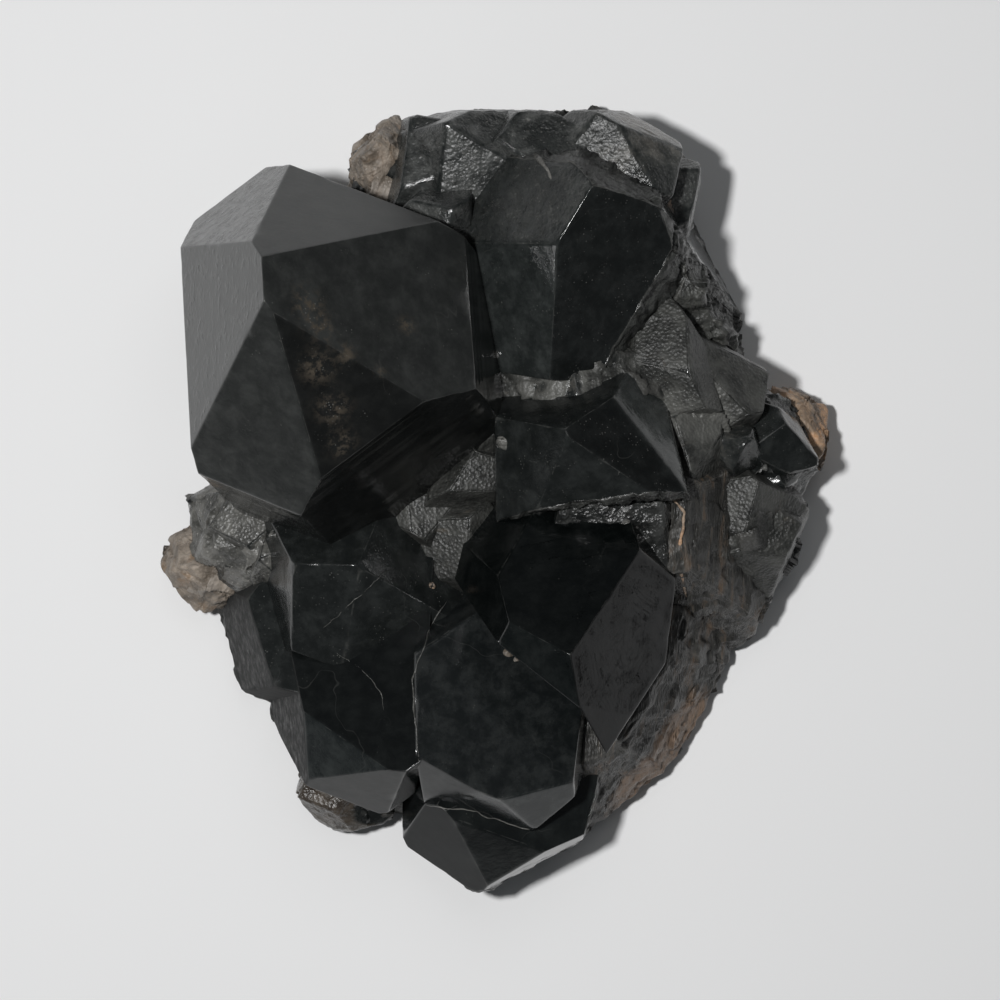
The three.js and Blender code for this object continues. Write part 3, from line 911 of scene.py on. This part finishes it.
# small loose-looking grains, as x, y and half width; each stands on whatever is under it
grainLook = {
    **shardLook, "facets": 10, "whole": 10, "grain": 0.2, "wave": 0.05, "chip": 0.05,
    "dull": {face: 0.9 for face in range(10)},
}
grainShape, grainSunk = np.array((1, 0.8, 0.7)), 0.3
grains = {
    "goldGrain": {"spots": [(-6.9, -8.6, 0.55)], "material": "orangeQuartz", "seed": 127},
    "tanGrains": {
        "spots": [(0.7, -15.2, 0.7), (1.6, -15.9, 0.5)],
        "material": "tanQuartz", "seed": 131,
    },
    "brightChips": {
        "spots": [
            (22.4, 3.6, 0.7), (23.4, 2.8, 0.5), (12.4, -2.2, 0.6), (0.4, 5.8, 1.0),
            (-22.5, -3.5, 0.7),
        ],
        "material": "paleQuartz", "seed": 137,
    },
}
for name, group in grains.items():
    skins = []
    for count, (x, y, size) in enumerate(group["spots"]):
        seed = group["seed"] + 1.9 * count
        planes = planesFromLump({
            "at": (x, y, heightAt(solids, x, y) - grainSunk * size), "size": size * grainShape,
            "facets": grainLook["facets"], "seed": seed,
        })
        skins.append(facetedSkin(*planes, {**grainLook, "seed": seed}))
    makePiece(name, *joinSkins(skins), finish[group["material"]])

# pale healed cracks and chipped crests, as x, y along each; they lie on the faces below them
veins = {
    "contactVein": {
        "route": [(-5.4, -9.9), (-6.9, -12.8), (-8.7, -17.8), (-8.2, -23.7), (-7.9, -26.2)],
        "radius": 0.09, "material": "greyQuartz",
    },
    "curvedVein": {
        "route": [(-16.3, -15.3), (-13.9, -16.9), (-12.0, -18.9), (-11.2, -21.7)],
        "radius": 0.06, "material": "greyQuartz",
    },
    "flankVein": {
        "route": [(-17.6, -12.8), (-14.6, -10.0), (-11.3, -7.0)],
        "radius": 0.07, "material": "greyQuartz",
    },
    "crestVein": {
        "route": [(1.4, 36.5), (2.6, 35.4), (3.9, 33.8), (5.0, 31.6)],
        "radius": 0.28, "material": "paleQuartz",
    },
    "rimVein": {
        "route": [(2, 36.1), (4.4, 36.9), (9.8, 35.9), (16.1, 35.2)],
        "radius": 0.12, "material": "paleQuartz",
    },
    "ridgeVein": {
        "route": [(16.8, 0.6), (18.2, -1.2), (17.9, -4.5), (18.0, -7.5), (19.2, -10.5)],
        "radius": 0.2, "material": "orangeQuartz",
    },
    "frontVein": {
        "route": [(-7.4, -30.6), (-3.5, -30.9), (0.5, -32.2), (3.0, -33.1)],
        "radius": 0.07, "material": "paleQuartz",
    },
}
veinStep, veinWander, veinSunk, veinSides = 0.25, 0.5, 0.02, 6


# a crack: a six-sided profile, half as high as wide, carried along a line; noise varies its
# radius and its course, and both ends close in a point
def makeVein(name, vein):
    route = np.array(vein["route"], dtype=float)
    run = np.concatenate([[0], np.cumsum(np.linalg.norm(np.diff(route, axis=0), axis=1))])
    at = np.linspace(0, run[-1], int(run[-1] / veinStep) + 2)
    x, y = np.interp(at, run, route[:, 0]), np.interp(at, run, route[:, 1])
    stray = np.stack([x / 1.3, y / 1.3, x * 0], axis=-1)
    x = x + veinWander * roughNoise(stray, 3, 1.0)
    y = y + veinWander * roughNoise(stray, 3, 2.0)
    z = topHeight(solids, x, y) - veinSunk
    along = np.gradient(np.stack([x, y, z], axis=-1), axis=0)
    along /= np.linalg.norm(along, axis=1)[:, None]
    side = np.cross(along, (0, 0, 1))
    side /= np.linalg.norm(side, axis=1)[:, None]
    over = np.cross(side, along)
    taper = np.sin(np.linspace(0.05, np.pi - 0.05, len(at))) ** 0.4
    swell = vein["radius"] * (1 + 1.6 * roughNoise(stray * 2, 3, 3.0)) * taper
    turn = np.linspace(0, 2 * np.pi, veinSides, endpoint=False)
    turn = turn[None, :, None]
    ring = np.cos(turn) * side[:, None] + np.sin(turn) * over[:, None]
    middle = np.stack([x, y, z], axis=-1)[:, None]
    points = (middle + swell[:, None, None] * ring * (1, 1, 0.5)).reshape(-1, 3)
    points = np.concatenate([points, middle[0], middle[-1]])
    count = len(points)
    k = np.arange(veinSides)
    nextK = (k + 1) % veinSides
    last = count - 2 - veinSides
    start = np.stack([k, nextK, k * 0 + count - 2, k * 0 + count - 2], axis=-1)
    end = np.stack([last + k, last + nextK, k * 0 + count - 1, k * 0 + count - 1], axis=-1)
    quads = np.concatenate([ringQuads(len(at), veinSides, 0), start, end])
    same, none = np.ones(count), np.zeros(count)
    values = {"worn": same * 0.8, "broken": same, "veiled": none, "tone": same, "matt": none}
    makePiece(name, points, quads, values, finish[vein["material"]])


for name, vein in veins.items():
    makeVein(name, vein)
print("healed cracks drawn")

# the paper it rests on
paper = {"half": 1.5, "colour": (0.80, 0.80, 0.80, 1)}
half = paper["half"]
paperMesh = bpy.data.meshes.new("paper")
paperMesh.from_pydata(
    [(-half, -half, 0), (half, -half, 0), (half, half, 0), (-half, half, 0)], [], [(0, 1, 2, 3)]
)
paperSheet = bpy.data.objects.new("paper", paperMesh)
bpy.context.scene.collection.objects.link(paperSheet)
paperWhite = bpy.data.materials.new("paperWhite")
paperWhite.use_nodes = True
paperShader = paperWhite.node_tree.nodes["Principled BSDF"]
paperShader.inputs["Base Color"].default_value = paper["colour"]
paperShader.inputs["Roughness"].default_value = 0.9
paperShader.inputs["Specular IOR Level"].default_value = 0.1
paperMesh.materials.append(paperWhite)

# lights: a small key high on the left, and a broad weak fill
lights = {
    "key": {"at": (-0.085, 0.018, 0.40), "size": 0.026, "watts": 1.36},
    "fill": {"at": (0.10, 0.35, 0.8), "size": 0.5, "watts": 0.6},
}
for name, light in lights.items():
    lamp = bpy.data.lights.new(name, "AREA")
    lamp.shape = "DISK"
    lamp.size = light["size"]
    lamp.energy = light["watts"]
    holder = bpy.data.objects.new(name, lamp)
    bpy.context.scene.collection.objects.link(holder)
    holder.location = light["at"]
    aim = -holder.location
    holder.rotation_euler = aim.to_track_quat("-Z", "Y").to_euler()
room = {"colour": (0.9, 0.95, 1.0, 1), "strength": 0.07}
world = bpy.data.worlds.new("room")
world.use_nodes = True
background = world.node_tree.nodes["Background"]
background.inputs["Color"].default_value = room["colour"]
background.inputs["Strength"].default_value = room["strength"]
bpy.context.scene.world = world
bpy.context.scene.view_settings.view_transform = "Standard"

# the camera looks straight down from 450 mm
camera = {"height": 0.45, "lens": 154.8, "sensor": 36}
lens = bpy.data.cameras.new("overhead")
lens.sensor_width = camera["sensor"]
lens.lens = camera["lens"]
overhead = bpy.data.objects.new("overhead", lens)
bpy.context.scene.collection.objects.link(overhead)
overhead.location = (0, 0, camera["height"])
bpy.context.scene.camera = overhead
print("lights and camera set")
